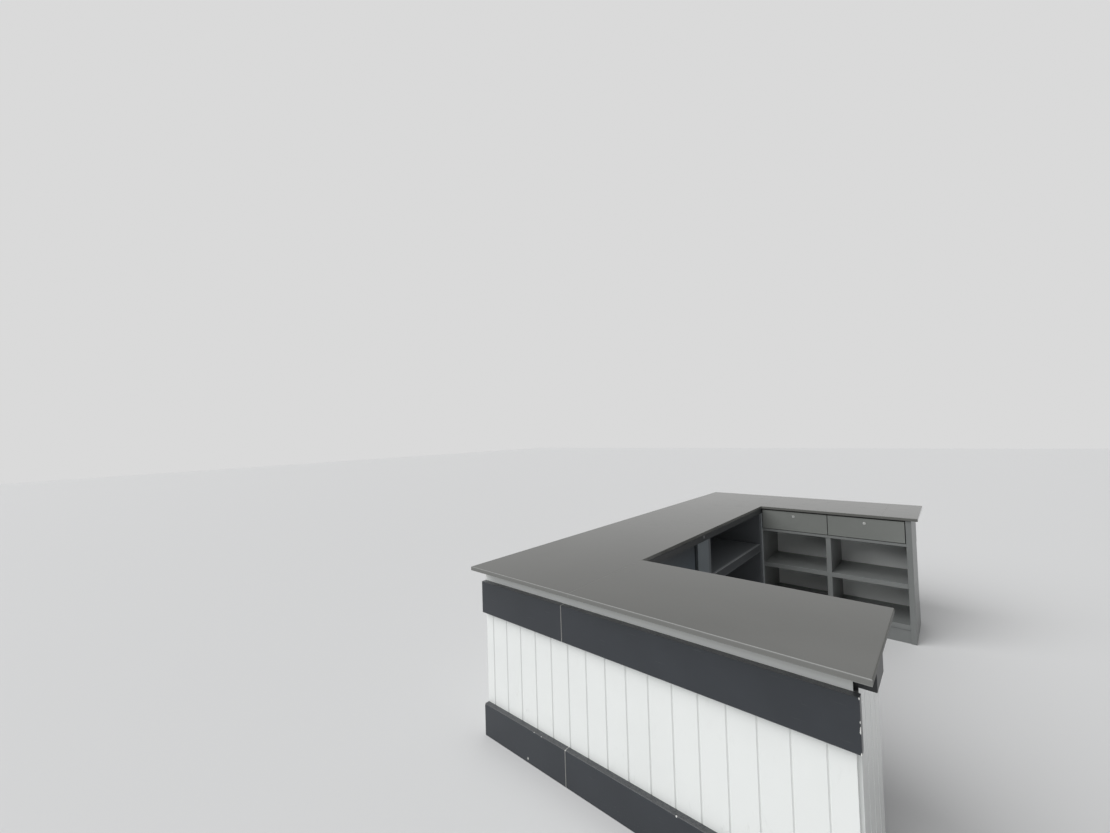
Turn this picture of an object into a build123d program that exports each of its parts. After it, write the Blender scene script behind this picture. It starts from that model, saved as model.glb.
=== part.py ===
from build123d import *
import os

# U-shaped shop service counter: three legs under one stone worktop, open to the right.
# +X runs along the customers' front to the right, +Y away from the customers, +Z up.
# Origin: on the floor, in the middle of the worktop's outline. All sizes in millimetres.

# Worktop
FRONT_LENGTH = 1690.0
BACK_LENGTH = 1670.0
OVERALL_DEPTH = 3220.0
FRONT_WIDTH = 610.0
SIDE_WIDTH = 645.0
BACK_WIDTH = 650.0
TOP_HEIGHT = 880.0
STONE = 20.0
ARRIS = 2.5
BACK_END_SLAB = 205.0        # length of the short slab at the back leg's end

# Boards
SUBTOP = 38.0
BOARD = 33.0
SHEET = 18.0
END_SHEET = 10.0             # thinner boarding on the front leg's end
BAND = 28.0
TOE_HEIGHT = 95.0
TOE_SETBACK = 6.0
SHELF_TOP = 412.0

# Overhangs of the stone beyond the bands and walls
FRONT_OVERHANG = 62.0
LEFT_OVERHANG = 8.0
RIGHT_OVERHANG = 40.0
BACK_RIGHT_OVERHANG = 37.0

# Support block under the stone's free front corner
END_BLOCK_DEPTH = 148.0
END_BLOCK_HEIGHT = 64.0
END_BLOCK_SETBACK = 3.0      # from the stone's end

# Front bands
KICK_HEIGHT = 160.0
FASCIA_DROP = 32.0           # fascia's top below the sub-top
FASCIA_HEIGHT = 160.0
BAND_SEAM = 550.0            # seam in the bands, from the left edge
BAND_SEAM_GAP = 2.0
BAND_ARRIS = 1.0

# Grooved boarding
GROOVE_PITCH = 100.0
GROOVE_WIDTH = 8.0
GROOVE_DEPTH = 4.0
FRONT_GROOVE = 52.0          # first groove from the wall's left end
END_GROOVE = 100.0           # first groove from the end panel's front edge
LEFT_GROOVE = 49.0
REAR_GROOVE = 50.0
GROOVE_STOP = 30.0           # the front's grooves end this far below the fascia's top

# Cases
FRONT_CASE_DEPTH = 400.0
SIDE_CASE_SETBACK = 10.0     # case fronts behind the stone's inner edge
BACK_CASE_SETBACK = 10.0
SIDE_CASE_DEPTH = 430.0
BACK_CASE_DEPTH = 422.0
CUPBOARD_END = 1266.0        # far edge of the cupboard panel, from the worktop's front
SLIT = 48.0
PILASTER = 167.0
SIDE_SHELF_TOP = 563.0
LIP_HEIGHT = 62.0
BAY_SETBACK = 4.0
EDGE_EASE = 1.0              # broken edge of the boards' faces that show

# Drawers
DRAWER_BAY_HEIGHT = 128.0    # from the drawer board up to the sub-top
FRONT_TOP_GAP = 10.0         # from the drawer fronts up to the stone
SUBTOP_SETBACK = 40.0        # sub-top behind the drawer fronts' face
GAP = 5.0
BOX_WALL = 13.0
BOX_BOTTOM = 6.0
BOX_BOTTOM_LIFT = 10.0
BOX_LIFT = 8.0
BOX_HEIGHT = 88.0
BOX_DEPTH = 370.0
SLIDE_SPACE = 13.0
SLIDE_LENGTH = 360.0
SLIDE_HEIGHT = 30.0
SLIDE_LIFT = 33.0
SLIDE_WALL = 1.5
SLIDE_PLAY = 0.3
FIXED_DEPTH = 9.5
MOVING_DEPTH = 10.5
LOCK_DROP = 35.0
LOCK_RADIUS = 8.0
LOCK_HOLE_PLAY = 0.2
LOCK_FACE_RADIUS = 9.5
LOCK_FACE = 2.0
LOCK_FACE_EASE = 0.8
LOCK_FLAT = 6.5              # from the lock's axis to the barrel's flats
LOCK_PLUG_RADIUS = 5.5
LOCK_PLUG_DEPTH = 0.4
NUT_ACROSS = 20.0
NUT_THICKNESS = 4.0
CAM_GAP = 2.0
CAM_LENGTH = 30.0
CAM_WIDTH = 12.0
CAM_THICKNESS = 2.0
KEYWAY_WIDTH = 1.6
KEYWAY_LENGTH = 8.0
KEYWAY_DEPTH = 5.0

# Round button on the sub-top's inner edge
BUTTON_FROM_FRONT = 1384.0
BUTTON_DROP = 11.0           # its middle below the stone
BUTTON_RADIUS = 9.0
BUTTON_DEPTH = 4.0
BUTTON_ROUND = 1.0

# Places worked out from the sizes
left = -FRONT_LENGTH / 2
right = left + FRONT_LENGTH
back_right = left + BACK_LENGTH
front = -OVERALL_DEPTH / 2
back = front + OVERALL_DEPTH
inner_left = left + SIDE_WIDTH
inner_front = front + FRONT_WIDTH
inner_back = back - BACK_WIDTH
stone_bottom = TOP_HEIGHT - STONE
case_top = stone_bottom - SUBTOP
face_left = left + LEFT_OVERHANG
face_right = right - RIGHT_OVERHANG
band_front = front + FRONT_OVERHANG
wall_front_face = band_front + BAND
wall_front_back = wall_front_face + SHEET
end_inside = face_right - SHEET
end_face = end_inside + END_SHEET
front_case_open = wall_front_back + FRONT_CASE_DEPTH
side_open = inner_left - SIDE_CASE_SETBACK
side_carcass = side_open - SHEET
side_back = side_open - SIDE_CASE_DEPTH
back_open = inner_back + BACK_CASE_SETBACK
back_wall_in = back_open + BACK_CASE_DEPTH
back_wall_out = back_wall_in + SHEET
post_out = back_right - BACK_RIGHT_OVERHANG
post_in = post_out - BOARD
floor_top = TOE_HEIGHT + BOARD
shelf_bottom = SHELF_TOP - BOARD
cupboard_far = front + CUPBOARD_END
pilaster_near = cupboard_far + SLIT
pilaster_far = pilaster_near + PILASTER
bay_near = pilaster_far + BOARD
bay_far = back_open - BOARD
divider_left = (inner_left + post_in) / 2 - BOARD / 2
divider_right = divider_left + BOARD
drawer_board_top = case_top - DRAWER_BAY_HEIGHT
drawer_board_bottom = drawer_board_top - SHEET
drawer_front_top = stone_bottom - FRONT_TOP_GAP
fascia_top = case_top - FASCIA_DROP
fascia_bottom = fascia_top - FASCIA_HEIGHT


def block(x0, x1, y0, y1, z0, z1):
    """A rectangular board between two corners."""
    solid = Box(x1 - x0, y1 - y0, z1 - z0, align=(Align.MIN, Align.MIN, Align.MIN))
    return Pos(x0, y0, z0) * solid


def eased(board, axis, side):
    """The board with the edges of one face broken."""
    face = board.faces().sort_by(axis)[side]
    return chamfer(face.edges(), EDGE_EASE)


def worktop():
    """The U of stone, its free edges rounded, sawn into four butt-jointed slabs."""
    corners = [
        (left, front),
        (right, front),
        (right, inner_front),
        (inner_left, inner_front),
        (inner_left, inner_back),
        (back_right, inner_back),
        (back_right, back),
        (left, back),
    ]
    outline = make_face(Polyline(*corners, close=True))
    stone = Pos(0, 0, stone_bottom) * extrude(outline, amount=STONE, dir=(0, 0, 1))
    levels = stone.faces().filter_by(Axis.Z)
    stone = fillet(levels.edges(), ARRIS)
    seam = back_right - BACK_END_SLAB
    low = stone_bottom - 1
    high = TOP_HEIGHT + 1
    return {
        "worktop_side": stone & block(left - 1, inner_left, front - 1, back + 1, low, high),
        "worktop_front": stone & block(inner_left, right + 1, front - 1, 0, low, high),
        "worktop_back": stone & block(inner_left, seam, 0, back + 1, low, high),
        "worktop_back_end": stone & block(seam, right + 1, 0, back + 1, low, high),
    }


def subtops():
    """Dark boards under the stone, and the block that carries its free front corner."""
    y0 = wall_front_face
    y1 = back_wall_out
    board = block(inner_left, end_face, y0, inner_front, case_top, stone_bottom)
    block_y = wall_front_back + END_BLOCK_DEPTH
    block_z = stone_bottom - END_BLOCK_HEIGHT
    block_x = right - END_BLOCK_SETBACK
    support = block(end_face, block_x, wall_front_back, block_y, block_z, stone_bottom)
    support = eased(support, Axis.X, -1)
    rear_y = back_open + SUBTOP_SETBACK
    return {
        "subtop_front": Compound([board, support]),
        "subtop_side": block(face_left, inner_left, y0, y1, case_top, stone_bottom),
        "subtop_back": block(inner_left, post_in, rear_y, y1, case_top, stone_bottom),
    }


def boarded(length, first, thickness=SHEET, groove_top=case_top):
    """An upright grooved board along +X from the origin, grooved face towards -Y."""
    board = block(0, length, 0, thickness, 0, case_top)
    half = GROOVE_WIDTH / 2
    outline = make_face(Polyline((-half, 0), (half, 0), (0, GROOVE_DEPTH), close=True))
    cutter = extrude(outline, amount=groove_top, dir=(0, 0, 1))
    count = int((length - first - GROOVE_WIDTH) // GROOVE_PITCH) + 1
    return board - [Pos(first + GROOVE_PITCH * i, 0, 0) * cutter for i in range(count)]


def walls():
    """White grooved walls round the outside, and the end panel of the front leg."""
    front_board = boarded(
        end_inside - face_left, FRONT_GROOVE, groove_top=fascia_top - GROOVE_STOP
    )
    end_board = boarded(FRONT_CASE_DEPTH, END_GROOVE, thickness=END_SHEET)
    end_turn = Pos(end_face, wall_front_back, 0) * Rot(0, 0, 90)
    left_turn = Pos(face_left, back_wall_in, 0) * Rot(0, 0, -90)
    rear_turn = Pos(post_in, back_wall_out, 0) * Rot(0, 0, 180)
    return {
        "wall_front": Pos(face_left, wall_front_face, 0) * front_board,
        "end_panel_front": end_turn * end_board,
        "wall_left": left_turn * boarded(back_wall_in - wall_front_back, LEFT_GROOVE),
        "wall_back": rear_turn * boarded(post_in - face_left, REAR_GROOVE),
    }


def band(x0, x1, y0, y1, z0, z1, outer):
    """A thick facing board, its outer edges eased."""
    board = block(x0, x1, y0, y1, z0, z1)
    face = board.faces().sort_by(Axis.Y)[outer]
    return chamfer(face.edges(), BAND_ARRIS)


def bands():
    """Fascia and kick boards, in two lengths on the front."""
    seam_left = left + BAND_SEAM - BAND_SEAM_GAP / 2
    seam_right = seam_left + BAND_SEAM_GAP
    y0 = band_front
    y1 = wall_front_face
    low = fascia_bottom
    high = fascia_top
    r0 = back_wall_out
    r1 = back_wall_out + BAND
    rear = [
        band(face_left, post_out, r0, r1, low, high, -1),
        band(face_left, post_out, r0, r1, 0, KICK_HEIGHT, -1),
    ]
    return {
        "fascia_front_left": band(face_left, seam_left, y0, y1, low, high, 0),
        "fascia_front_right": band(seam_right, face_right, y0, y1, low, high, 0),
        "kick_front_left": band(face_left, seam_left, y0, y1, 0, KICK_HEIGHT, 0),
        "kick_front_right": band(seam_right, face_right, y0, y1, 0, KICK_HEIGHT, 0),
        "bands_back": Compound(rear),
    }


def front_case():
    """Open shelving on the staff side of the front leg."""
    y0 = wall_front_back
    y1 = front_case_open
    x0 = inner_left
    x1 = end_inside - BOARD
    mid0 = (x0 + x1) / 2 - BOARD / 2
    mid1 = mid0 + BOARD
    gables = [
        eased(block(x0 - BOARD, x0, y0, y1, 0, case_top), Axis.Y, -1),
        eased(block(x1, end_inside, y0, y1, 0, case_top), Axis.Y, -1),
    ]
    shelf_y = y1 - BAY_SETBACK
    shelves = [
        eased(block(x0, mid0, y0, shelf_y, shelf_bottom, SHELF_TOP), Axis.Y, -1),
        eased(block(mid1, x1, y0, shelf_y, shelf_bottom, SHELF_TOP), Axis.Y, -1),
    ]
    toe_y = y1 - TOE_SETBACK
    return {
        "gables_front": Compound(gables),
        "divider_front": eased(block(mid0, mid1, y0, y1, floor_top, case_top), Axis.Y, -1),
        "shelves_front": Compound(shelves),
        "bottom_front": eased(block(x0, x1, y0, y1, TOE_HEIGHT, floor_top), Axis.Y, -1),
        "plinth_front": block(x0, x1, toe_y - SHEET, toe_y, 0, TOE_HEIGHT),
    }


def side_case():
    """Closed cupboard, slit, pilaster and open bay of the side leg."""
    near_gable = cupboard_far - BOARD
    mid_gable = pilaster_far
    gables = [
        block(side_back, side_carcass, near_gable, cupboard_far, 0, case_top),
        eased(block(side_back, side_open, mid_gable, bay_near, 0, case_top), Axis.X, -1),
        eased(block(side_back, side_open, bay_far, back_open, 0, case_top), Axis.X, -1),
    ]
    bay_x = side_open - BAY_SETBACK
    bottoms = [
        block(side_back, side_carcass, front_case_open, near_gable, TOE_HEIGHT, floor_top),
        block(side_back, side_carcass, cupboard_far, mid_gable, TOE_HEIGHT, floor_top),
        eased(block(side_back, bay_x, bay_near, bay_far, TOE_HEIGHT, floor_top), Axis.X, -1),
    ]
    toe_x = side_carcass
    bay_toe_x = side_open - TOE_SETBACK
    toes = [
        block(toe_x - SHEET, toe_x, front_case_open, near_gable, 0, TOE_HEIGHT),
        block(toe_x - SHEET, toe_x, cupboard_far, mid_gable, 0, TOE_HEIGHT),
        block(bay_toe_x - SHEET, bay_toe_x, bay_near, bay_far, 0, TOE_HEIGHT),
    ]
    shelf_under = SIDE_SHELF_TOP - BOARD
    lip_under = SIDE_SHELF_TOP - LIP_HEIGHT
    shelf = block(side_back, bay_x - SHEET, bay_near, bay_far, shelf_under, SIDE_SHELF_TOP)
    lip = eased(
        block(bay_x - SHEET, bay_x, bay_near, bay_far, lip_under, SIDE_SHELF_TOP), Axis.X, -1
    )
    panel = block(side_carcass, side_open, front_case_open, cupboard_far, 0, case_top)
    pilaster = block(side_carcass, side_open, pilaster_near, pilaster_far, 0, case_top)
    return {
        "gables_side": Compound(gables),
        "cupboard_panel_side": eased(panel, Axis.X, -1),
        "pilaster_side": eased(pilaster, Axis.X, -1),
        "back_board_side": block(
            side_back - SHEET, side_back, wall_front_back, back_open, 0, case_top
        ),
        "shelf_side": shelf + lip,
        "bottom_side": Compound(bottoms),
        "plinth_side": Compound(toes),
    }


def button():
    """Small round button on the sub-top's inner edge."""
    base = (Align.CENTER, Align.CENTER, Align.MIN)
    body = Cylinder(BUTTON_RADIUS, BUTTON_DEPTH, align=base)
    body = fillet(body.edges().group_by(Axis.Z)[-1], BUTTON_ROUND)
    place = Pos(inner_left, front + BUTTON_FROM_FRONT, stone_bottom - BUTTON_DROP)
    return {"edge_button": place * Rot(0, 90, 0) * body}


def back_case():
    """Drawer case over open shelves in the back leg."""
    x0 = inner_left
    x1 = post_in
    y0 = back_open
    y1 = back_wall_in
    shelf_y = y0 + BAY_SETBACK
    shelves = [
        eased(block(x0, divider_left, shelf_y, y1, shelf_bottom, SHELF_TOP), Axis.Y, 0),
        eased(block(divider_right, x1, shelf_y, y1, shelf_bottom, SHELF_TOP), Axis.Y, 0),
    ]
    toe_y = y0 + TOE_SETBACK
    divider_y = y0 + SHEET + GAP
    lower_divider = block(
        divider_left, divider_right, shelf_y, y1, floor_top, drawer_board_bottom
    )
    return {
        "gable_back_left": eased(block(x0 - BOARD, x0, y0, y1, 0, case_top), Axis.Y, 0),
        "gable_back_right": eased(
            block(x1, post_out, y0, back_wall_out, 0, stone_bottom), Axis.Y, 0
        ),
        "drawer_board": eased(
            block(x0, x1, y0, y1, drawer_board_bottom, drawer_board_top), Axis.Y, 0
        ),
        "drawer_divider": block(
            divider_left, divider_right, divider_y, y1, drawer_board_top, case_top
        ),
        "divider_back": eased(lower_divider, Axis.Y, 0),
        "shelves_back": Compound(shelves),
        "bottom_back": eased(block(x0, x1, y0, y1, TOE_HEIGHT, floor_top), Axis.Y, 0),
        "plinth_back": block(x0, x1, toe_y, toe_y + SHEET, 0, TOE_HEIGHT),
    }


def lock_place(x):
    """Where a lock's axis meets the drawer front's face."""
    return Pos(x, back_open, drawer_front_top - LOCK_DROP) * Rot(-90, 0, 0)


def drawer_front(x0, x1):
    """Inset front with the hole for its lock."""
    low = drawer_board_top + GAP
    board = block(x0, x1, back_open, back_open + SHEET, low, drawer_front_top)
    board = eased(board, Axis.Y, 0)
    hole = Cylinder(LOCK_RADIUS + LOCK_HOLE_PLAY, SHEET * 4)
    return board - lock_place((x0 + x1) / 2) * hole


def drawer_box(x0, x1):
    """An open tray with its bottom let in above the lower edge."""
    y0 = back_open + SHEET
    y1 = y0 + BOX_DEPTH
    z0 = drawer_board_top + BOX_LIFT
    z1 = z0 + BOX_HEIGHT
    in_x0 = x0 + BOX_WALL
    in_x1 = x1 - BOX_WALL
    in_y0 = y0 + BOX_WALL
    in_y1 = y1 - BOX_WALL
    floor_under = z0 + BOX_BOTTOM_LIFT
    tray = block(x0, x1, y0, y1, z0, z1)
    above = block(in_x0, in_x1, in_y0, in_y1, floor_under + BOX_BOTTOM, z1 + 1)
    below = block(in_x0, in_x1, in_y0, in_y1, z0 - 1, floor_under)
    return tray - above - below


def cam_lock(x):
    """Eased face with a recessed plug, flat-sided barrel, nut and cam behind the front."""
    base = (Align.CENTER, Align.CENTER, Align.MIN)
    face = Cylinder(LOCK_FACE_RADIUS, LOCK_FACE, align=base)
    face = Pos(0, 0, -LOCK_FACE) * chamfer(face.edges().group_by(Axis.Z)[0], LOCK_FACE_EASE)
    cam_at = SHEET + NUT_THICKNESS + CAM_GAP
    barrel = Cylinder(LOCK_RADIUS, cam_at, align=base)
    barrel = barrel & Box(LOCK_RADIUS * 2, LOCK_FLAT * 2, cam_at, align=base)
    hexagon = RegularPolygon(NUT_ACROSS / 2, 6, major_radius=False, rotation=30)
    nut = Pos(0, 0, SHEET) * extrude(hexagon, amount=NUT_THICKNESS)
    cam = extrude(SlotOverall(CAM_LENGTH, CAM_WIDTH), amount=CAM_THICKNESS)
    cam = Pos((CAM_LENGTH - CAM_WIDTH) / 2, 0, cam_at) * cam
    plug = Pos(0, 0, -LOCK_FACE) * Cylinder(LOCK_PLUG_RADIUS, LOCK_PLUG_DEPTH, align=base)
    keyway = Pos(0, 0, -LOCK_FACE) * Box(KEYWAY_WIDTH, KEYWAY_LENGTH, KEYWAY_DEPTH)
    return lock_place(x) * (face + barrel + nut + cam - plug - keyway)


def channel(depth, height):
    """A C-shaped slide member along +Y, open towards +X."""
    outer = block(0, depth, 0, SLIDE_LENGTH, 0, height)
    inner = block(SLIDE_WALL, depth + 1, -1, SLIDE_LENGTH + 1, SLIDE_WALL, height - SLIDE_WALL)
    return outer - inner


def slides(x0, x1):
    """Fixed and moving members on both sides of a drawer bay."""
    near = back_open + SHEET + GAP
    far = near + SLIDE_LENGTH
    z = drawer_board_top + SLIDE_LIFT
    z_in = z + SLIDE_WALL + SLIDE_PLAY
    turn = Rot(0, 0, 180)
    fixed = channel(FIXED_DEPTH, SLIDE_HEIGHT)
    moving = channel(MOVING_DEPTH, SLIDE_HEIGHT - 2 * SLIDE_WALL - 2 * SLIDE_PLAY)
    fixed_pair = [Pos(x0, near, z) * fixed, Pos(x1, far, z) * turn * fixed]
    moving_pair = [
        Pos(x0 + SLIDE_SPACE, far, z_in) * turn * moving,
        Pos(x1 - SLIDE_SPACE, near, z_in) * moving,
    ]
    return fixed_pair, moving_pair


def drawers():
    """Two lockable drawers side by side, with their slides."""
    middle = (divider_left + divider_right) / 2
    plan = {
        "left": (inner_left, divider_left, inner_left + GAP, middle - GAP / 2),
        "right": (divider_right, post_in, middle + GAP / 2, post_in - GAP),
    }
    nodes = {}
    fixed_all = []
    for side, (bay0, bay1, front0, front1) in plan.items():
        fixed_pair, moving_pair = slides(bay0, bay1)
        fixed_all += fixed_pair
        nodes[f"drawer_{side}_front"] = drawer_front(front0, front1)
        nodes[f"drawer_{side}_box"] = drawer_box(bay0 + SLIDE_SPACE, bay1 - SLIDE_SPACE)
        nodes[f"drawer_{side}_lock"] = cam_lock((front0 + front1) / 2)
        nodes[f"drawer_{side}_slides"] = Compound(moving_pair)
    nodes["fixed_slides"] = Compound(fixed_all)
    return nodes


def main():
    os.makedirs("parts", exist_ok=True)
    makers = (worktop, subtops, walls, bands, front_case, side_case, button, back_case, drawers)
    for make in makers:
        for name, shape in make().items():
            export_step(shape, f"parts/{name}.step")


main()
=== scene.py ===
"""Finishes, small fittings and studio for the U-shaped shop counter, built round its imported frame."""

import math

import bpy
from mathutils import Matrix, Vector


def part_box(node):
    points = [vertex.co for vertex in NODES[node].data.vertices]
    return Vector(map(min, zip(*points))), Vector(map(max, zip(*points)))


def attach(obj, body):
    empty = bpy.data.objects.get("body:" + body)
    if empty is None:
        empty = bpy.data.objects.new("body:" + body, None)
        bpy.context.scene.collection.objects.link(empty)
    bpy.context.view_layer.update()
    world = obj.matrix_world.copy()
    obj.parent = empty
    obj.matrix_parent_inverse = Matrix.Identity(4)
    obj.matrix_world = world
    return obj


bl_info = {
    "name": "Shop Counter Looks",
    "version": (1, 0, 0),
    "blender": (4, 5, 0),
    "location": "View3D > Sidebar > Counter",
    "description": "Stone, boards, bands, drawers, fittings and studio of a U-shaped shop counter",
    "category": "Object",
}

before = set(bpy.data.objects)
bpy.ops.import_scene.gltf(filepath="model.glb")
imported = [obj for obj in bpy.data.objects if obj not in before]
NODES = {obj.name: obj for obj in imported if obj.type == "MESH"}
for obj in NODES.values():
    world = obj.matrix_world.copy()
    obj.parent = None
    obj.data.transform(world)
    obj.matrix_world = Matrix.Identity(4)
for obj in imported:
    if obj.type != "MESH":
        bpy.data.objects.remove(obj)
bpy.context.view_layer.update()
COUNTER = "counter"
DRAWERS = ("left", "right")

# A box's two corners, and the three axes
LOW = 0
HIGH = 1
X = 0
Y = 1
Z = 2

MM = 0.001

# Where paint ends: this far inside or outside an edge, fading this far to either side
SKIN = 0.5 * MM
BLUR = 0.3 * MM

# Thin marks: how far each is at full strength from its middle or edge, and where it has faded away
SLAB_JOINT = (0.4 * MM, 1.2 * MM)
BAND_SEAM = (1.2 * MM, 2.2 * MM)
# The stone's two widths place its painted highlight on the rounded edges and its painted light on the outer
# faces
STONE_ARRIS = (1.8 * MM, 3.4 * MM)
STONE_FACE = (0.4 * MM, 1.8 * MM)

WELL = 945 * MM              # nearer the middle than this, the legs' slabs have no joint
END_SHADOW_FADE = 30 * MM          # painted shadow on the front wall's right end fades in over this height, up to the fascia's top
CUPBOARD_SHADE = 680 * MM    # painted shade makes the cupboard panel darker from this height up
LIP = 18 * MM                # thickness of the side shelf's lip
CHIP_SQUEEZE = 0.55          # a chip's width for its height

# Chips on the fascia's right end, as (distance below its top, radius)
FASCIA_CHIPS = (
    (0, 3.4 * MM),
    (67 * MM, 2.4 * MM),
    (83 * MM, 2.2 * MM),
    (89 * MM, 2.6 * MM),
    (95 * MM, 3.0 * MM),
    (157 * MM, 3.4 * MM),
)

# Chips on the kick board's top edge, as (distance right of its seam, radius)
KICK_CHIPS = ((-189 * MM, 1.8 * MM), (-143 * MM, 2.0 * MM), (524 * MM, 3.2 * MM))

# The kick board's chip near the floor, as (distance right of its seam, height, radius)
LOW_CHIP = (-234 * MM, 20 * MM, 3.4 * MM)

# Screws: along a slide from its front end, and across a drawer's box where its front is fixed
SLIDE_WALL = 1.5 * MM
SLIDE_SCREWS = (37 * MM, 165 * MM, 323 * MM)
BOX_WALL = 13 * MM
FRONT_SCREWS = (0.25, 0.75)
FRONT_SCREW_LIFT = 6 * MM    # above the box's middle

# Camera, found from the photograph: lengths in metres and, where the name says so, in pixels
PHOTO_WIDTH = 1110
PHOTO_HEIGHT = 833
CAMERA_AT = (1.0288, -3.0616, 1.5591)
CAMERA_TURN = (-41.87, 1.64, -1.713)    # yaw, pitch and roll in degrees
FOCAL_PX = 448.31
AXIS_PX = (549.4, 419.4)     # where the camera's axis meets the photograph
SENSOR = 36                  # millimetres
NEAREST = 0.05
FARTHEST = 200

# Studio: where the lamps shine from, and the gap that keeps the floor clear of the boards
KEY_FROM = (-2.6, -5.2, 5.4)
FILL_FROM = (-1.0, 5.0, 6.0)
FLOOR_GAP = 0.6 * MM


class CounterColours(bpy.types.PropertyGroup):
    """Colours of the counter's finishes, as linear values."""

    stone: bpy.props.FloatVectorProperty(
        name="Stone", description="Ground colour of the worktop", subtype="COLOR",
        default=(0.124, 0.125, 0.118), min=0, max=1)
    stone_pale: bpy.props.FloatVectorProperty(
        name="Pale speck", description="Pale grains in the stone", subtype="COLOR",
        default=(0.225, 0.225, 0.21), min=0, max=1)
    stone_dark: bpy.props.FloatVectorProperty(
        name="Dark speck", description="Dark grains in the stone", subtype="COLOR",
        default=(0.066, 0.066, 0.061), min=0, max=1)
    # Painted highlight on the stone's outer rounded edges, and painted light on its outer faces
    stone_edge: bpy.props.FloatVectorProperty(
        name="Arris", description="Stone's rounded edges, which catch the light", subtype="COLOR",
        default=(0.3, 0.305, 0.298), min=0, max=1)
    laminate: bpy.props.FloatVectorProperty(
        name="Band", description="Dark laminate of fascia and kick boards", subtype="COLOR",
        default=(0.031, 0.035, 0.041), min=0, max=1)
    core: bpy.props.FloatVectorProperty(
        name="Core", description="Pale board where the laminate has chipped", subtype="COLOR",
        default=(0.72, 0.72, 0.69), min=0, max=1)
    lacquer: bpy.props.FloatVectorProperty(
        name="Lacquer", description="White lacquer of the grooved walls", subtype="COLOR",
        default=(0.78, 0.8, 0.79), min=0, max=1)
    # Real dirt and scuffs, plus painted shade in the walls' V-grooves; on the bands it also paints the top
    # face paler
    dust_and_painted_light: bpy.props.FloatVectorProperty(
        name="Dust and painted light", description="Dust and scuffs on walls and bands", subtype="COLOR",
        default=(0.36, 0.36, 0.34), min=0, max=1)
    # Painted shade on the white walls under the stone's overhang
    recess: bpy.props.FloatVectorProperty(
        name="Recess", description="White walls in the shade between bands and stone", subtype="COLOR",
        default=(0.36, 0.36, 0.35), min=0, max=1)
    # Painted shadow on the front wall's right end, from the fascia's top up
    end_shadow: bpy.props.FloatVectorProperty(
        name="End shadow", description="Front wall's right end, from the fascia's top up", subtype="COLOR",
        default=(0.03, 0.03, 0.032), min=0, max=1)
    melamine: bpy.props.FloatVectorProperty(
        name="Melamine", description="Faces of the case boards", subtype="COLOR",
        default=(0.162, 0.17, 0.168), min=0, max=1)
    # Painted shade: a darker copy of the case melamine for the side leg's boards
    side_case: bpy.props.FloatVectorProperty(
        name="Side case", description="Darker faces of the side leg's boards", subtype="COLOR",
        default=(0.112, 0.12, 0.128), min=0, max=1)
    # Painted highlight along the top of the side shelf's lip
    side_strip: bpy.props.FloatVectorProperty(
        name="Side shelf strip", description="Pale strip along the top of the shelf's lip", subtype="COLOR",
        default=(0.36, 0.375, 0.39), min=0, max=1)
    # Painted light on the front edge of the gable in the inner corner
    corner_edge_light: bpy.props.FloatVectorProperty(
        name="Corner edge light", description="Front edge of the gable in the inner corner", subtype="COLOR",
        default=(0.29, 0.31, 0.32), min=0, max=1)
    drawer: bpy.props.FloatVectorProperty(
        name="Drawer front", description="Faces of the drawer fronts", subtype="COLOR",
        default=(0.172, 0.18, 0.171), min=0, max=1)
    # Partly painted shade: darker and bluer than the case melamine
    panel: bpy.props.FloatVectorProperty(
        name="Cupboard panel", description="Blue-grey panel of the side leg", subtype="COLOR",
        default=(0.05, 0.064, 0.078), min=0, max=1)
    # Partly painted shade: its blue tint
    pilaster: bpy.props.FloatVectorProperty(
        name="Pilaster", description="Pale blue-grey board beside the open bay", subtype="COLOR",
        default=(0.16, 0.18, 0.195), min=0, max=1)
    subtop: bpy.props.FloatVectorProperty(
        name="Sub-top", description="Dark boards under the stone", subtype="COLOR",
        default=(0.02, 0.022, 0.024), min=0, max=1)
    chrome: bpy.props.FloatVectorProperty(
        name="Lock", description="Plated metal of the drawers' locks", subtype="COLOR",
        default=(0.92, 0.92, 0.9), min=0, max=1)
    zinc: bpy.props.FloatVectorProperty(
        name="Slides", description="Zinc-plated steel of the drawer slides", subtype="COLOR",
        default=(0.55, 0.56, 0.57), min=0, max=1)
    nickel: bpy.props.FloatVectorProperty(
        name="Shelf pins", description="Plated steel of the shelf pins", subtype="COLOR",
        default=(0.6, 0.59, 0.57), min=0, max=1)
    screw: bpy.props.FloatVectorProperty(
        name="Screws", description="Zinc-plated steel of the screws", subtype="COLOR",
        default=(0.6, 0.6, 0.58), min=0, max=1)
    button: bpy.props.FloatVectorProperty(
        name="Button", description="Plastic of the round button", subtype="COLOR",
        default=(0.16, 0.165, 0.17), min=0, max=1)


class CounterFittings(bpy.types.PropertyGroup):
    """Sizes of the small fittings."""

    pin_radius: bpy.props.FloatProperty(
        name="Pin radius", description="Shelf pin's collar", unit="LENGTH", default=4 * MM, min=MM)
    pin_reach: bpy.props.FloatProperty(
        name="Pin reach", description="How far a shelf pin stands out", unit="LENGTH",
        default=9 * MM, min=MM)
    pin_thick: bpy.props.FloatProperty(
        name="Pin thickness", description="Metal of a shelf pin", unit="LENGTH",
        default=1.6 * MM, min=MM / 2)
    pin_inset: bpy.props.FloatProperty(
        name="Pin inset", description="From a shelf's edge to its pins", unit="LENGTH",
        default=40 * MM, min=MM)
    screw_radius: bpy.props.FloatProperty(
        name="Screw radius", description="Screw head's radius", unit="LENGTH", default=4 * MM, min=MM)
    screw_height: bpy.props.FloatProperty(
        name="Screw height", description="Screw head's height", unit="LENGTH", default=2.2 * MM, min=MM / 2)
    slot_width: bpy.props.FloatProperty(
        name="Cross width", description="Width of the cross in a screw head", unit="LENGTH",
        default=1.1 * MM, min=MM / 10)


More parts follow.
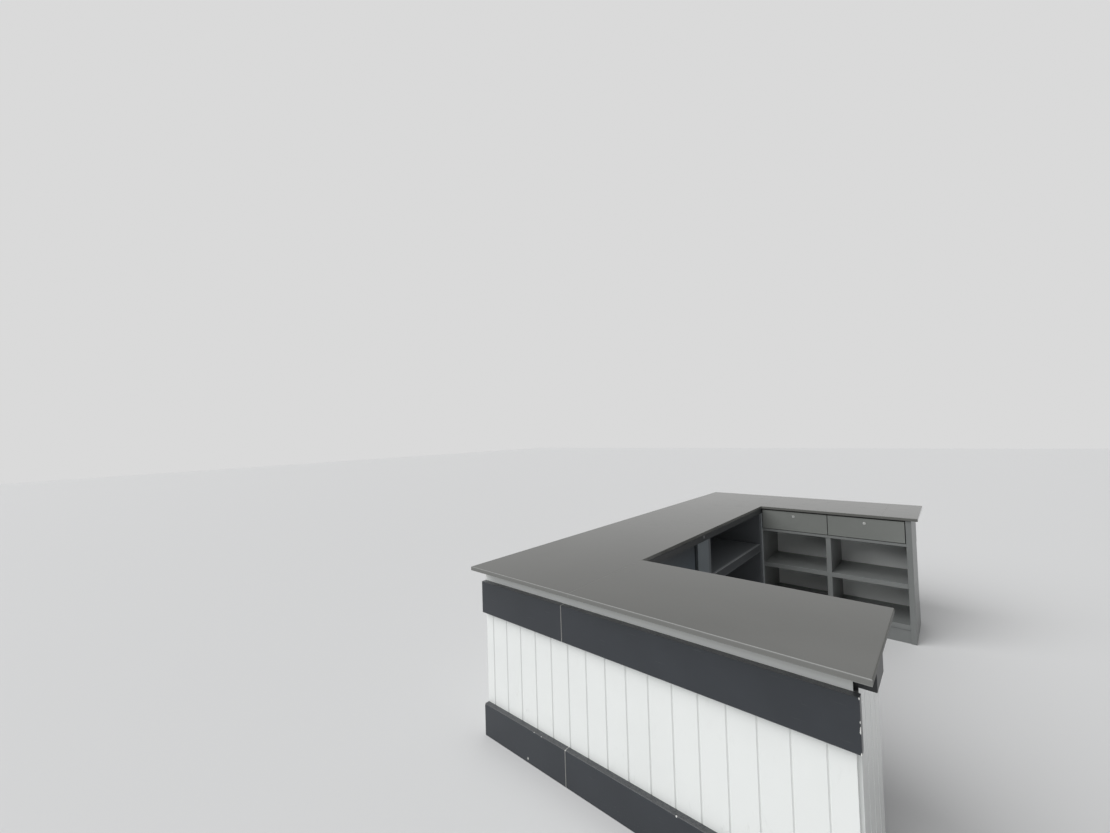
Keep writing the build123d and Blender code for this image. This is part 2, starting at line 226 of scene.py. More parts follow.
class CounterStudio(bpy.types.PropertyGroup):
    """Floor, light and camera."""

    floor: bpy.props.FloatVectorProperty(
        name="Floor", description="Colour of the plain floor", subtype="COLOR",
        default=(0.68, 0.685, 0.69), min=0, max=1)
    floor_size: bpy.props.FloatProperty(
        name="Floor size", description="Side of the floor", unit="LENGTH", default=60.0, min=5)
    background: bpy.props.FloatProperty(
        name="Background", description="Brightness of the background that is seen", default=0.7, min=0)
    ambient: bpy.props.FloatProperty(
        name="Ambient", description="Light from all round on the object", default=0.36, min=0)
    key: bpy.props.FloatProperty(
        name="Key", description="Soft lamp on the customers' side", default=2.45, min=0)
    fill: bpy.props.FloatProperty(
        name="Fill", description="Soft lamp from behind", default=0.15, min=0)
    softness: bpy.props.FloatProperty(
        name="Softness", description="How wide the lamps are", unit="ROTATION", default=0.95, min=0)
    focal: bpy.props.FloatProperty(
        name="Focal length", description="The camera's lens, for its sensor's width", unit="CAMERA",
        default=FOCAL_PX / PHOTO_WIDTH * SENSOR)


class Wire:
    """A socket in a node tree, so that its maths reads as an expression."""

    def __init__(self, tree, socket):
        self.tree = tree
        self.socket = socket

    def _math(self, operation, first, second=0.0, clamp=False):
        settings = {"operation": operation, "use_clamp": clamp}
        return self.tree.node("ShaderNodeMath", settings, {0: first, 1: second})

    def __add__(self, other):
        return self._math("ADD", self, other)

    def __sub__(self, other):
        return self._math("SUBTRACT", self, other)

    def __mul__(self, other):
        return self._math("MULTIPLY", self, other)

    def __truediv__(self, other):
        return self._math("DIVIDE", self, other)

    def __radd__(self, other):
        return self._math("ADD", other, self)

    def __rsub__(self, other):
        return self._math("SUBTRACT", other, self)

    def __rmul__(self, other):
        return self._math("MULTIPLY", other, self)

    def __rtruediv__(self, other):
        return self._math("DIVIDE", other, self)

    def __abs__(self):
        return self._math("ABSOLUTE", self)

    def clamped(self):
        return self._math("ADD", self, 0.0, clamp=True)

    def most(self, other):
        return self._math("MAXIMUM", self, other)

    def least(self, other):
        return self._math("MINIMUM", self, other)

    def step(self, low, high):
        """0 up to low, 1 from high, and smooth between them."""
        span = {"Value": self, "From Min": low, "From Max": high}
        return self.tree.node("ShaderNodeMapRange", {"interpolation_type": "SMOOTHSTEP"}, span)

    def past(self, place, fade=BLUR):
        """0 before a place and 1 after it."""
        return self.step(place - fade, place + fade)

    def line(self, place, half, faded):
        """1 within half a line's width of a place, 0 where it has faded away."""
        return 1 - abs(self - place).step(half, faded)

    def output(self, name):
        """Another output of the same node."""
        return Wire(self.tree, self.socket.node.outputs[name])


class Tree:
    """A node tree, in which one method adds every node."""

    def __init__(self, tree):
        self.nodes = tree.nodes
        self.links = tree.links

    def node(self, kind, settings, sockets, output=0):
        """Adds a node: its settings first, then its sockets' values or links, a list for several links."""
        made = self.nodes.new(kind)
        for key, value in settings.items():
            setattr(made, key, value)
        for key, value in sockets.items():
            for part in value if isinstance(value, list) else [value]:
                if isinstance(part, Wire):
                    self.links.new(part.socket, made.inputs[key])
                else:
                    made.inputs[key].default_value = part
        return None if output is None else Wire(self, made.outputs[output])


class Finish(Tree):
    """One material's node tree."""

    def __init__(self, name):
        self.material = bpy.data.materials.new(name)
        self.material.use_nodes = True
        super().__init__(self.material.node_tree)
        self.nodes.clear()
        self.place = self.node("ShaderNodeTexCoord", {}, {}, "Object")
        split = self.node("ShaderNodeSeparateXYZ", {}, {0: self.place})
        self.x, self.y, self.z = (split.output(axis) for axis in "XYZ")

    def noise(self, scale, detail=2.0, rough=0.5, stretch=None):
        """Cloudy noise from 0 to 1, with about scale blots to a metre."""
        place = self.place
        if stretch:
            place = self.node("ShaderNodeMapping", {}, {"Vector": place, "Scale": stretch})
        return self.node(
            "ShaderNodeTexNoise", {},
            {"Vector": place, "Scale": scale, "Detail": detail, "Roughness": rough}, "Fac")

    def grains(self, scale):
        """Distance from the middle of the nearest grain, in grain widths."""
        return self.node("ShaderNodeTexVoronoi", {}, {"Vector": self.place, "Scale": scale}, "Distance")

    def mix(self, share, first, second):
        """A colour between two."""
        ends = [colour if isinstance(colour, Wire) else (*colour, 1.0) for colour in (first, second)]
        return self.node("ShaderNodeMix", {"data_type": "RGBA"}, {0: share, 6: ends[0], 7: ends[1]}, 2)

    def close(self, colour, roughness, height=None, relief=0.0, fixed=None):
        """Ends the tree in a surface; fixed holds the sockets with one value all over."""
        sockets = {"Base Color": colour if isinstance(colour, Wire) else (*colour, 1.0)}
        sockets["Roughness"] = roughness
        if height is not None:
            sockets["Normal"] = self.node(
                "ShaderNodeBump", {}, {"Height": height, "Distance": relief, "Strength": 1.0}, "Normal")
        surface = self.node("ShaderNodeBsdfPrincipled", {}, {**sockets, **(fixed or {})}, "BSDF")
        self.node("ShaderNodeOutputMaterial", {}, {"Surface": surface}, None)
        return self.material


def colours():
    return bpy.context.scene.counter_colours


def fittings():
    return bpy.context.scene.counter_fittings


def studio():
    return bpy.context.scene.counter_studio


def shade(colour, factor):
    """A colour made lighter or darker."""
    return [part * factor for part in colour]


def edge(name, side, axis):
    """One face of a CAD node's box."""
    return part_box(name)[side][axis]


def starting(*starts):
    """The CAD nodes whose names start so."""
    return [name for name in sorted(NODES) if name.startswith(starts)]


def paint(names, material):
    """Gives CAD nodes a finish through their material slots."""
    for name in names:
        piece = NODES[name]
        if not piece.material_slots:
            piece.data.materials.append(material)
        for slot in piece.material_slots:
            slot.material = material


def stone_finish():
    """Polished stone: fine grains, faint clouds, hairline joints where the slabs meet."""
    tint = colours()
    finish = Finish("polished_stone")
    clouds = finish.noise(2.2, 3.0)
    fine = finish.noise(420.0, 2.0, 0.6)
    pale = (0.2 - finish.grains(260.0)).step(0.0, 0.09) * fine.step(0.48, 0.62)
    dark = (0.22 - finish.grains(340.0)).step(0.0, 0.1) * (1 - fine.step(0.4, 0.52))
    ground = finish.mix(clouds.step(0.3, 0.7) * 0.22, tint.stone, shade(tint.stone, 1.16))
    speckled = finish.mix(pale * 0.75, ground, tint.stone_pale)
    speckled = finish.mix(dark * 0.7, speckled, tint.stone_dark)
    leg_joints = finish.x.line(edge("worktop_side", HIGH, X), *SLAB_JOINT)
    leg_joints = leg_joints * abs(finish.y).step(WELL, WELL + MM)
    end_joint = finish.x.line(edge("worktop_back_end", LOW, X), *SLAB_JOINT)
    end_joint = end_joint * finish.y.step(WELL, WELL + MM)
    joint = leg_joints.most(end_joint)
    colour = finish.mix(joint * 0.45, speckled, tint.stone_pale)
    # Painted highlight on the outer rounded edges, and painted light on the outer faces
    colour = finish.mix(arris(finish) * 0.8, colour, tint.stone_edge)
    smears = finish.noise(7.0, 4.0, 0.6, (1.0, 2.5, 1.0)).step(0.45, 0.75)
    right = edge("worktop_front", HIGH, X)
    right_end = finish.x.step(right - 4 * MM, right - MM)
    roughness = 0.1 + smears * 0.08 + joint * 0.3 + right_end * 0.4
    return finish.close(colour, roughness, joint * -1.0, 0.3 * MM, {"Specular IOR Level": 0.2})


def arris(finish):
    """Painted highlight on the stone's outer rounded edges, full there, and painted light at 0.3 of that on
    the outer faces between them.
    """
    low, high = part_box("worktop_side")
    outer = (finish.x - low.x).least(finish.y - low.y).least(high.y - finish.y)
    level = (high.z - finish.z).least(finish.z - low.z)
    face = 1 - outer.step(*STONE_FACE)
    return (1 - outer.most(level).step(*STONE_ARRIS)).most(face * 0.3)


def lacquer_finish():
    """Gloss white lacquer: scuffs, more near the floor; painted shade in the V-grooves and under the stone;
    a painted shadow on the front wall's right end.
    """
    tint = colours()
    finish = Finish("white_lacquer")
    depth = abs(finish.y - edge("wall_front", LOW, Y))
    depth = depth.least(abs(finish.x - edge("end_panel_front", HIGH, X)))
    depth = depth.least(abs(finish.x - edge("wall_left", LOW, X)))
    depth = depth.least(abs(finish.y - edge("wall_back", HIGH, Y)))
    # Painted shade on the flanks of the V-grooves
    flank = depth.step(0.3 * MM, 3 * MM) * (1 - depth.step(5 * MM, 7 * MM))
    clouds = finish.noise(3.0, 3.0)
    scuffs = finish.noise(30.0, 5.0, 0.65, (1.0, 1.0, 0.35)).step(0.6, 0.78)
    low = 1 - finish.z.step(160 * MM, 340 * MM)
    # Scuffs are real dirt, heavier near the floor; the groove flanks add painted shade
    dust_and_painted_light = (scuffs * (0.12 + low * 0.4) + flank * 0.12).clamped()
    ground = finish.mix(clouds.step(0.35, 0.7) * 0.5, tint.lacquer, shade(tint.lacquer, 0.94))
    colour = finish.mix(dust_and_painted_light * 0.6, ground, tint.dust_and_painted_light)
    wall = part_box("wall_front")[HIGH]
    fascia_top = edge("fascia_front_right", HIGH, Z)
    # Painted shade on the walls under the stone, up from just above the fascia's top
    under_stone = finish.z.step(fascia_top + 4 * MM, wall.z)
    colour = finish.mix(under_stone * 0.62, colour, tint.recess)
    # Painted shadow: the front wall's right end turns near black from the fascia's top up
    end_shadow = finish.x.past(wall.x - SKIN) * (1 - finish.y.past(wall.y + SKIN))
    end_shadow = end_shadow * finish.z.step(fascia_top - END_SHADOW_FADE, fascia_top)
    colour = finish.mix(end_shadow, colour, tint.end_shadow)
    orange_peel = finish.noise(140.0, 2.0)
    roughness = 0.16 + scuffs * 0.14 + flank * 0.1
    return finish.close(colour, roughness, orange_peel, 0.04 * MM)


def chipped(finish, chips):
    """How much of the pale core shows, from a list of (point, radius).

    A chip runs along the board's upright edge, so it is taller than it is wide.
    """
    ragged = finish.noise(430.0, 4.0, 0.75) * 1.5 + 0.25
    squeeze = (1.0, 1.0, CHIP_SQUEEZE)
    squat = finish.node("ShaderNodeVectorMath", {"operation": "MULTIPLY"}, {0: finish.place, 1: squeeze})
    shown = 0.0
    for (x, y, z), radius in chips:
        spot = (x, y, z * CHIP_SQUEEZE)
        away = finish.node("ShaderNodeVectorMath", {"operation": "DISTANCE"}, {0: squat, 1: spot}, "Value")
        reach = away / (ragged * radius)
        shown = (1 - reach.step(0.85, 1.0)).most(shown)
    return shown


def band_finish(name, top, chips=(), seam=None):
    """Dark satin laminate with fine scratches, dusty specks along the bottom, chipped edges, and painted
    light: paler specks on the top face.
    """
    tint = colours()
    finish = Finish(name)
    clouds = finish.noise(4.0, 3.0)
    scratches = finish.noise(60.0, 4.0, 0.6, (0.12, 1.0, 3.0)).step(0.66, 0.72)
    specks = finish.noise(240.0, 4.0, 0.7)
    dust_and_lit_top = specks.step(0.6, 0.8) * (1 - finish.z.step(20 * MM, 140 * MM))
    # Painted light: paler specks on the top face, as if lit from above
    dust_and_lit_top = dust_and_lit_top.most(specks.step(0.3, 0.7) * finish.z.past(top - SKIN) * 0.6)
    ground = finish.mix(clouds.step(0.3, 0.7) * 0.6, tint.laminate, shade(tint.laminate, 1.25))
    worn = finish.mix((scratches * 0.1 + dust_and_lit_top * 0.35).clamped(), ground, tint.dust_and_painted_light)
    bare = chipped(finish, chips)
    if seam is not None:
        bare = (finish.x.line(seam, *BAND_SEAM) * 0.8).most(bare)
    colour = finish.mix(bare, worn, tint.core)
    weave = finish.noise(700.0, 2.0)
    roughness = 0.26 + clouds * 0.06 + scratches * 0.12 + dust_and_lit_top * 0.2 + bare * 0.4
    return finish.close(colour, roughness, weave - bare * 2.0, 0.08 * MM, {"Specular IOR Level": 0.35})


def board_finish(name, ground_colour, gloss=0.34, zones=None):
    """Melamine-faced board: faint cloud, fine stipple, a few rubbed marks.

    zones gives (share, colour) for each part of the board that is another colour.
    """
    finish = Finish(name)
    clouds = finish.noise(5.0, 3.0)
    stipple = finish.noise(900.0, 2.0, 0.6)
    rubbed = finish.noise(22.0, 5.0, 0.65, (1.0, 1.0, 0.5)).step(0.6, 0.76)
    low = 1 - finish.z.step(30 * MM, 200 * MM)
    pale = finish.mix(clouds.step(0.35, 0.7) * 0.5, ground_colour, shade(ground_colour, 1.1))
    for share, colour in zones(finish) if zones else ():
        pale = finish.mix(share, pale, colour)
    colour = finish.mix((rubbed * (0.15 + low * 0.45)).clamped(), pale, shade(ground_colour, 0.55))
    roughness = gloss + clouds * 0.05 + rubbed * 0.14
    return finish.close(colour, roughness, stipple, 0.05 * MM)


def lipped_shelf_zones(finish):
    """The side leg's shelf, all painted light and shade: a paler top, a highlight strip along the top of
    the lip, a darker lip face with a lighter foot.
    """
    tint = colours()
    low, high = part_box("shelf_side")
    top = finish.z.past(high.z - 1.1 * MM, 0.5 * MM)
    lip = finish.x.past(high.x - LIP, 0.4 * MM)
    foot = 1 - finish.z.past(low.z + 7 * MM, 2 * MM)
    return [
        # Painted shade on the lip's face, a lighter foot, a paler top and a highlight on the lip's top
        (lip * 0.9, shade(tint.side_case, 0.52)),
        (lip * foot * 0.8, tint.side_case),
        (top * 0.9, shade(tint.side_case, 1.7)),
        (top * lip, tint.side_strip),
    ]


def cupboard_zones(finish):
    """Painted shade: darker where the panel comes up under the sub-top."""
    shadow = finish.z.step(CUPBOARD_SHADE, edge("cupboard_panel_side", HIGH, Z) + 30 * MM)
    return [(shadow, shade(colours().panel, 0.35))]


def corner_gable_zones(finish):
    """Painted light: a paler front edge on the gable in the inner corner."""
    front = edge("gable_back_left", LOW, Y)
    return [(1 - finish.y.past(front + 1.4 * MM, 0.6 * MM), colours().corner_edge_light)]


def metal_finish(name, ground_colour, rough, spangle=0.0):
    """Plated metal with fine handling marks, and spangle where it is zinc."""
    finish = Finish(name)
    marks = finish.noise(180.0, 4.0, 0.6, (1.0, 0.2, 1.0))
    flakes = finish.grains(300.0)
    share = (marks.step(0.5, 0.8) * 0.25 + flakes * spangle).clamped()
    colour = finish.mix(share, ground_colour, shade(ground_colour, 0.7))
    roughness = rough + marks * 0.1 + flakes * (spangle * 0.3)
    return finish.close(colour, roughness, marks, 0.02 * MM, {"Metallic": 1.0})


def plastic_finish(name, ground_colour, rough):
    """Moulded plastic with a fine sparked texture."""
    finish = Finish(name)
    texture = finish.noise(1400.0, 2.0)
    handled = finish.noise(90.0, 3.0)
    colour = finish.mix(handled.step(0.4, 0.8) * 0.4, ground_colour, shade(ground_colour, 1.6))
    return finish.close(colour, rough + handled * 0.1, texture, 0.03 * MM)


def fitting_tree(name, material, build):
    """A tree that sets one small fitting on every point of a mesh, turned by its lean attribute."""
    group = bpy.data.node_groups.new(name, "GeometryNodeTree")
    group.interface.new_socket("Places", in_out="INPUT", socket_type="NodeSocketGeometry")
    for label in ("Radius", "Height", "Detail"):
        socket = group.interface.new_socket(label, in_out="INPUT", socket_type="NodeSocketFloat")
        socket.subtype = "DISTANCE"
    group.interface.new_socket("Fittings", in_out="OUTPUT", socket_type="NodeSocketGeometry")

    tree = Tree(group)
    places = tree.node("NodeGroupInput", {}, {}, "Places")
    fitting = build(tree, places.output("Radius"), places.output("Height"), places.output("Detail"))
    lean = tree.node(
        "GeometryNodeInputNamedAttribute", {"data_type": "FLOAT_VECTOR"}, {"Name": "lean"}, "Attribute")
    turn = tree.node("FunctionNodeEulerToRotation", {}, {0: lean})
    placed = tree.node(
        "GeometryNodeInstanceOnPoints", {}, {"Points": places, "Instance": fitting, "Rotation": turn})
    real = tree.node("GeometryNodeRealizeInstances", {}, {0: placed})
    finished = tree.node("GeometryNodeSetMaterial", {}, {"Geometry": real, "Material": material})
    tree.node("NodeGroupOutput", {}, {0: finished}, None)
    return group


def moved(tree, shape, axis, distance):
    """A shape moved along one axis."""
    spot = tree.node("ShaderNodeCombineXYZ", {}, {axis: distance})
    return tree.node("GeometryNodeTransform", {}, {"Geometry": shape, "Translation": spot})


def bar(tree, width, depth, height):
    """A square bar round its middle."""
    size = tree.node("ShaderNodeCombineXYZ", {}, {X: width, Y: depth, Z: height})
    return tree.node("GeometryNodeMeshCube", {}, {"Size": size}, "Mesh")


def pin_shape(tree, radius, reach, thick):
    """A spoon pin: a round collar on the board, and the flat tab that carries the shelf."""
    collar = tree.node(
        "GeometryNodeMeshCylinder", {}, {"Vertices": 24, "Radius": radius, "Depth": thick}, "Mesh")
    collar = moved(tree, moved(tree, collar, Z, thick * 0.5), Y, radius * -1.0)
    tab = bar(tree, radius * 2.0, thick, reach)
    tab = moved(tree, moved(tree, tab, Y, thick * -0.5), Z, reach * 0.5)
    return tree.node("GeometryNodeJoinGeometry", {}, {0: [collar, tab]})


def screw_shape(tree, radius, height, slot):
    """A domed screw head with a cross cut into it."""
    dome = tree.node(
        "GeometryNodeMeshUVSphere", {}, {"Segments": 20, "Rings": 12, "Radius": 1.0}, "Mesh")
    size = tree.node("ShaderNodeCombineXYZ", {}, {X: radius, Y: radius, Z: height})
    head = tree.node("GeometryNodeTransform", {}, {"Geometry": dome, "Scale": size})
    arm = radius * 1.15
    lift = height * 1.05
    cross = [
        moved(tree, bar(tree, arm, slot, height), Z, lift),
        moved(tree, bar(tree, slot, arm, height), Z, lift),
    ]
    solver = {"operation": "DIFFERENCE", "solver": "EXACT"}
    return tree.node("GeometryNodeMeshBoolean", solver, {"Mesh 1": head, "Mesh 2": cross}, "Mesh")


def set_fittings(name, tree, places, sizes, body):
    """Makes one plain mesh of all the fittings on a body. A place is (point, direction)."""
    mesh = bpy.data.meshes.new(name + "_places")
    mesh.from_pydata([point for point, _ in places], [], [])
    lean = mesh.attributes.new("lean", "FLOAT_VECTOR", "POINT")
    for item, (_, direction) in zip(lean.data, places):
        item.vector = Vector(direction).to_track_quat("Z", "Y").to_euler()
    holder = bpy.data.objects.new(name + "_places", mesh)
    bpy.context.scene.collection.objects.link(holder)
    modifier = holder.modifiers.new("Fittings", "NODES")
    modifier.node_group = tree
    for item in tree.interface.items_tree:
        if item.in_out == "INPUT" and item.name in sizes:
            modifier[item.identifier] = sizes[item.name]
    graph = bpy.context.evaluated_depsgraph_get()
    made = bpy.data.meshes.new_from_object(holder.evaluated_get(graph))
    bpy.data.objects.remove(holder)
    if not made.polygons:
        raise RuntimeError(name + " came out empty")
    made.name = name
    piece = bpy.data.objects.new(name, made)
    bpy.context.scene.collection.objects.link(piece)
    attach(piece, body)


def lay_floor(settings):
    """A plain floor just under the counter."""
    half = settings.floor_size / 2
    corners = [(x, y, -FLOOR_GAP) for x, y in ((-half, -half), (half, -half), (half, half), (-half, half))]
    mesh = bpy.data.meshes.new("floor")
    mesh.from_pydata(corners, [], [(0, 1, 2, 3)])
    mesh.materials.append(Finish("plain_floor").close(settings.floor, 0.7))
    floor = bpy.data.objects.new("floor", mesh)
    bpy.context.scene.collection.objects.link(floor)


def light_room(settings):
    """Even light from all round, and a pale background where it is seen, mirrored or looked through."""
    world = bpy.data.worlds.new("soft_room")
    bpy.context.scene.world = world
    world.use_nodes = True
    tree = Tree(world.node_tree)
    tree.nodes.clear()
    seen = tree.node("ShaderNodeLightPath", {}, {}, "Is Camera Ray")
    shown = seen.most(seen.output("Is Transmission Ray")).most(seen.output("Is Glossy Ray"))
    strength = tree.node(
        "ShaderNodeMapRange", {},
        {"Value": shown, "To Min": settings.ambient, "To Max": settings.background})
    white = (1.0, 1.0, 1.0, 1.0)
    light = tree.node("ShaderNodeBackground", {}, {"Color": white, "Strength": strength})
    tree.node("ShaderNodeOutputWorld", {}, {"Surface": light}, None)


def hang_lamp(name, place, power, softness):
    """A wide soft lamp that shines from a place towards the counter."""
    lamp = bpy.data.lights.new(name, "SUN")
    lamp.energy = power
    lamp.angle = softness
    holder = bpy.data.objects.new(name, lamp)
    holder.rotation_euler = (-Vector(place)).to_track_quat("-Z", "Y").to_euler()
    bpy.context.scene.collection.objects.link(holder)


def set_camera(settings):
    """The photograph's camera: turned left, tilted up and rolled."""
    yaw, pitch, roll = (math.radians(angle) for angle in CAMERA_TURN)
    ahead = Vector((math.sin(yaw) * math.cos(pitch), math.cos(yaw) * math.cos(pitch), math.sin(pitch)))
    level = Vector((math.cos(yaw), -math.sin(yaw), 0))
    up = level.cross(ahead)
    right = level * math.cos(roll) + up * math.sin(roll)
    top = up * math.cos(roll) - level * math.sin(roll)
    data = bpy.data.cameras.new("camera")
    data.sensor_fit = "HORIZONTAL"
    data.sensor_width = SENSOR
    data.lens = settings.focal
    data.shift_x = (PHOTO_WIDTH / 2 - AXIS_PX[X]) / PHOTO_WIDTH
    data.shift_y = (AXIS_PX[Y] - PHOTO_HEIGHT / 2) / PHOTO_WIDTH
    data.clip_start = NEAREST
    data.clip_end = FARTHEST
    camera = bpy.data.objects.new("camera", data)
    turn = Matrix((right, top, -ahead)).transposed().to_4x4()
    camera.matrix_world = Matrix.Translation(CAMERA_AT) @ turn
    bpy.context.scene.collection.objects.link(camera)
    bpy.context.scene.camera = camera


class COUNTER_OT_stone(bpy.types.Operator):
    """Finish the stone worktop"""

    bl_idname = "counter.stone"
    bl_label = "Stone worktop"

    def execute(self, context):
        paint(starting("worktop"), stone_finish())
        return {"FINISHED"}


class COUNTER_OT_boarding(bpy.types.Operator):
    """Finish the white grooved walls"""

    bl_idname = "counter.boarding"
    bl_label = "Grooved walls"

    def execute(self, context):
        paint(starting("wall_", "end_panel"), lacquer_finish())
        return {"FINISHED"}


class COUNTER_OT_bands(bpy.types.Operator):
    """Finish the fascia and kick boards, with their chipped edges"""

    bl_idname = "counter.bands"
    bl_label = "Fascia and kick boards"

    def execute(self, context):
        low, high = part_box("fascia_front_right")
        face = low.y
        fascia_top = high.z
        fascia_chips = [((high.x, face, fascia_top - drop), radius) for drop, radius in FASCIA_CHIPS]
        kick_top = edge("kick_front_right", HIGH, Z)
        seam = edge("kick_front_right", LOW, X)
        left_end = edge("kick_front_left", LOW, X)
        along, height, radius = LOW_CHIP
        kick_chips = [
            ((seam, face + 2 * MM, kick_top), 3.4 * MM),
            ((left_end, face, kick_top - 2 * MM), 3.5 * MM),
            ((seam + along, face, height), radius),
        ]
        kick_chips += [((seam + along, face, kick_top), radius) for along, radius in KICK_CHIPS]
        joint = (edge("kick_front_left", HIGH, X) + seam) / 2
        paint(starting("fascia_front"), band_finish("fascia_laminate", fascia_top, fascia_chips, joint))
        paint(starting("kick_front"), band_finish("kick_laminate", kick_top, kick_chips, joint))
        paint(["bands_back"], band_finish("rear_laminate", fascia_top))
        return {"FINISHED"}


class COUNTER_OT_carcass(bpy.types.Operator):
    """Finish the sub-tops and the case boards on the staff side"""

    bl_idname = "counter.carcass"
    bl_label = "Cases"

    def execute(self, context):
        tint = colours()
        paint(starting("subtop"), board_finish("dark_board", tint.subtop, 0.42))
        cases = starting("gable", "divider", "shel", "bottom", "plinth", "back_board")
        cases += ["drawer_board", "drawer_divider"]
        side = [name for name in cases if name.endswith("_side")]
        paint([name for name in cases if name not in side], board_finish("case_melamine", tint.melamine))
        # The side leg's boards get the darker copy of the melamine, painted shade
        paint(side, board_finish("side_melamine", tint.side_case))
        corner = board_finish("corner_gable_melamine", tint.melamine, zones=corner_gable_zones)
        paint(["gable_back_left"], corner)
        shelf = board_finish("side_shelf_melamine", tint.side_case, zones=lipped_shelf_zones)
        paint(["shelf_side"], shelf)
        panel = board_finish("panel_laminate", tint.panel, 0.3, cupboard_zones)
        paint(["cupboard_panel_side"], panel)
        paint(["pilaster_side"], board_finish("pilaster_laminate", tint.pilaster, 0.3))
        return {"FINISHED"}


class COUNTER_OT_drawers(bpy.types.Operator):
    """Finish the drawers, their locks and slides"""

    bl_idname = "counter.drawers"
    bl_label = "Drawers"

    def execute(self, context):
        tint = colours()
        front = board_finish("drawer_melamine", tint.drawer, 0.3)
        tray = board_finish("tray_board", shade(tint.melamine, 1.15), 0.45)
        chrome = metal_finish("lock_chrome", tint.chrome, 0.34)
        zinc = metal_finish("slide_zinc", tint.zinc, 0.3, 0.5)
        for side in DRAWERS:
            paint([f"drawer_{side}_front"], front)
            paint([f"drawer_{side}_box"], tray)
            paint([f"drawer_{side}_lock"], chrome)
            paint([f"drawer_{side}_slides"], zinc)
        paint(["fixed_slides"], zinc)
        return {"FINISHED"}


class COUNTER_OT_button(bpy.types.Operator):
    """Finish the round button on the sub-top's edge"""

    bl_idname = "counter.button"
    bl_label = "Edge button"

    def execute(self, context):
        paint(["edge_button"], plastic_finish("button_plastic", colours().button, 0.3))
        return {"FINISHED"}


class COUNTER_OT_pins(bpy.types.Operator):
    """Set the pins that carry the shelves"""

    bl_idname = "counter.pins"
    bl_label = "Shelf pins"

    def execute(self, context):
        size = fittings()
        steel = metal_finish("pin_nickel", colours().nickel, 0.22)
        tree = fitting_tree("ShelfPins", steel, pin_shape)
        places = []
        divider = {"shelves_front": "divider_front", "shelves_back": "divider_back"}
        for shelf, middle in divider.items():
            low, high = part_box(shelf)
            walls = [(low.x, 1), (edge(middle, LOW, X), -1), (edge(middle, HIGH, X), 1), (high.x, -1)]
            for y in (low.y + size.pin_inset, high.y - size.pin_inset):
                for x, towards in walls:
                    places.append(((x, y, low.z), (towards, 0, 0)))
        low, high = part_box("shelf_side")
        under = high.z - (edge("shelves_back", HIGH, Z) - edge("shelves_back", LOW, Z))
        for x in (low.x + size.pin_inset, high.x - 2 * size.pin_inset):
            places.append(((x, low.y, under), (0, 1, 0)))
            places.append(((x, high.y, under), (0, -1, 0)))
        sizes = {"Radius": size.pin_radius, "Height": size.pin_reach, "Detail": size.pin_thick}
        set_fittings("shelf_pins", tree, places, sizes, COUNTER)
        return {"FINISHED"}


class COUNTER_OT_screws(bpy.types.Operator):
    """Set the screws of the slides and drawer fronts"""

    bl_idname = "counter.screws"
    bl_label = "Screws"

    def execute(self, context):
        size = fittings()
        zinc = metal_finish("screw_zinc", colours().screw, 0.25, 0.2)
        tree = fitting_tree("ScrewHeads", zinc, screw_shape)
        sizes = {"Radius": size.screw_radius, "Height": size.screw_height, "Detail": size.slot_width}
        fixed_low, fixed_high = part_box("fixed_slides")
        middle = (fixed_low.z + fixed_high.z) / 2
        bays = [
            (fixed_low.x, 1),
            (edge("drawer_divider", LOW, X), -1),
            (edge("drawer_divider", HIGH, X), 1),
            (fixed_high.x, -1),
        ]
        places = [
            ((x + SLIDE_WALL * towards, fixed_low.y + along, middle), (towards, 0, 0))
            for x, towards in bays
            for along in SLIDE_SCREWS
        ]
        set_fittings("case_screws", tree, places, sizes, COUNTER)
        for side in DRAWERS:
            low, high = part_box(f"drawer_{side}_box")
            places = [
                ((x, fixed_low.y + along, middle), (towards, 0, 0))
                for x, towards in ((low.x - SLIDE_WALL, -1), (high.x + SLIDE_WALL, 1))
                for along in SLIDE_SCREWS
            ]
            lift = (low.z + high.z) / 2 + FRONT_SCREW_LIFT
            for share in FRONT_SCREWS:
                x = low.x + (high.x - low.x) * share
                places.append(((x, low.y + BOX_WALL, lift), (0, 1, 0)))
            set_fittings(f"drawer_{side}_screws", tree, places, sizes, f"drawer_{side}")
        return {"FINISHED"}


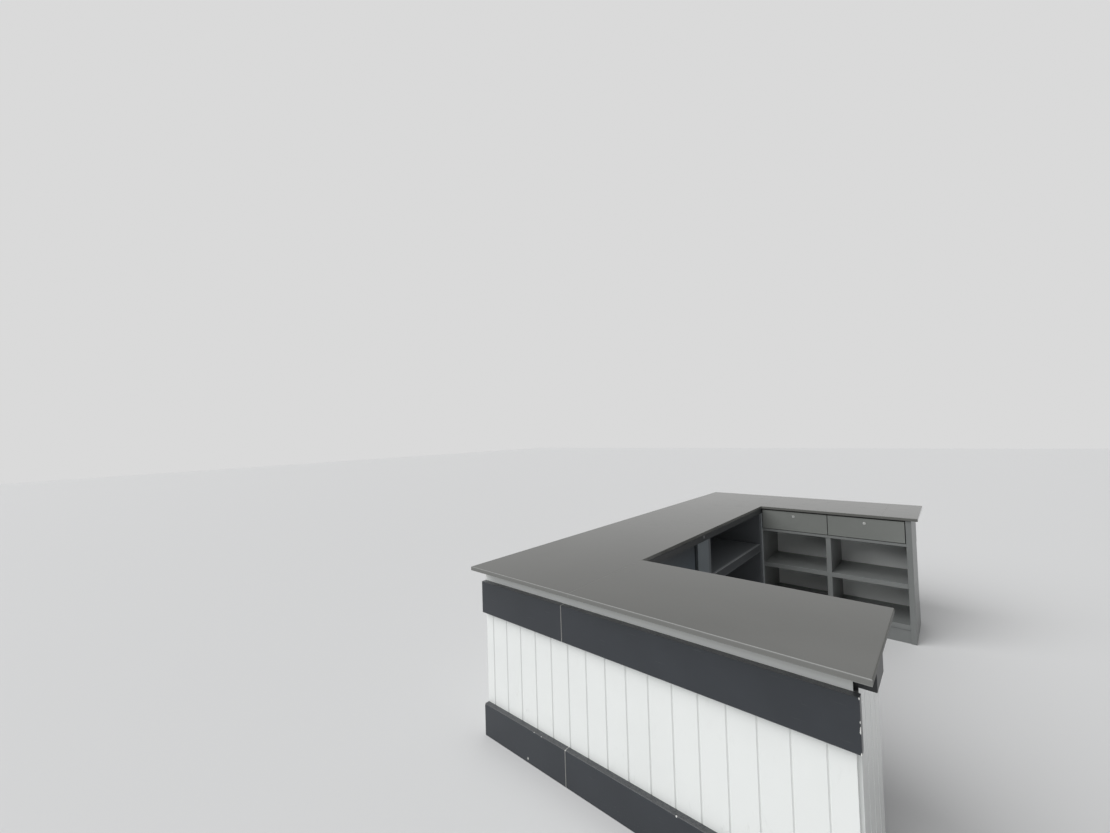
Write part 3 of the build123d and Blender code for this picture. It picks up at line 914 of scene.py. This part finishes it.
class COUNTER_OT_stage(bpy.types.Operator):
    """Lay the floor, light the counter and set the camera"""

    bl_idname = "counter.stage"
    bl_label = "Studio"

    def execute(self, context):
        settings = studio()
        context.scene.view_settings.view_transform = "Standard"
        lay_floor(settings)
        light_room(settings)
        hang_lamp("key", KEY_FROM, settings.key, settings.softness)
        hang_lamp("fill", FILL_FROM, settings.fill, settings.softness)
        set_camera(settings)
        return {"FINISHED"}


OPERATORS = (
    COUNTER_OT_stone,
    COUNTER_OT_boarding,
    COUNTER_OT_bands,
    COUNTER_OT_carcass,
    COUNTER_OT_drawers,
    COUNTER_OT_button,
    COUNTER_OT_pins,
    COUNTER_OT_screws,
    COUNTER_OT_stage,
)


class COUNTER_PT_panel(bpy.types.Panel):
    """Lists the counter's pieces and their settings"""

    bl_idname = "COUNTER_PT_panel"
    bl_label = "Shop Counter"
    bl_space_type = "VIEW_3D"
    bl_region_type = "UI"
    bl_category = "Counter"

    def draw(self, context):
        for operator in OPERATORS:
            self.layout.operator(operator.bl_idname)
        for group in (colours(), fittings(), studio()):
            box = self.layout.box()
            for name in group.bl_rna.properties.keys():
                if name not in ("rna_type", "name"):
                    box.prop(group, name)


GROUPS = {
    "counter_colours": CounterColours,
    "counter_fittings": CounterFittings,
    "counter_studio": CounterStudio,
}


def register():
    for group in GROUPS.values():
        bpy.utils.register_class(group)
    for name, group in GROUPS.items():
        setattr(bpy.types.Scene, name, bpy.props.PointerProperty(type=group))
    for item in (*OPERATORS, COUNTER_PT_panel):
        bpy.utils.register_class(item)


def unregister():
    for item in reversed((*OPERATORS, COUNTER_PT_panel)):
        bpy.utils.unregister_class(item)
    for name, group in GROUPS.items():
        delattr(bpy.types.Scene, name)
        bpy.utils.unregister_class(group)


def main():
    register()
    bpy.ops.counter.stone()
    bpy.ops.counter.boarding()
    bpy.ops.counter.bands()
    bpy.ops.counter.carcass()
    bpy.ops.counter.drawers()
    bpy.ops.counter.button()
    bpy.ops.counter.pins()
    bpy.ops.counter.screws()
    bpy.ops.counter.stage()


if __name__ == "__main__":
    main()
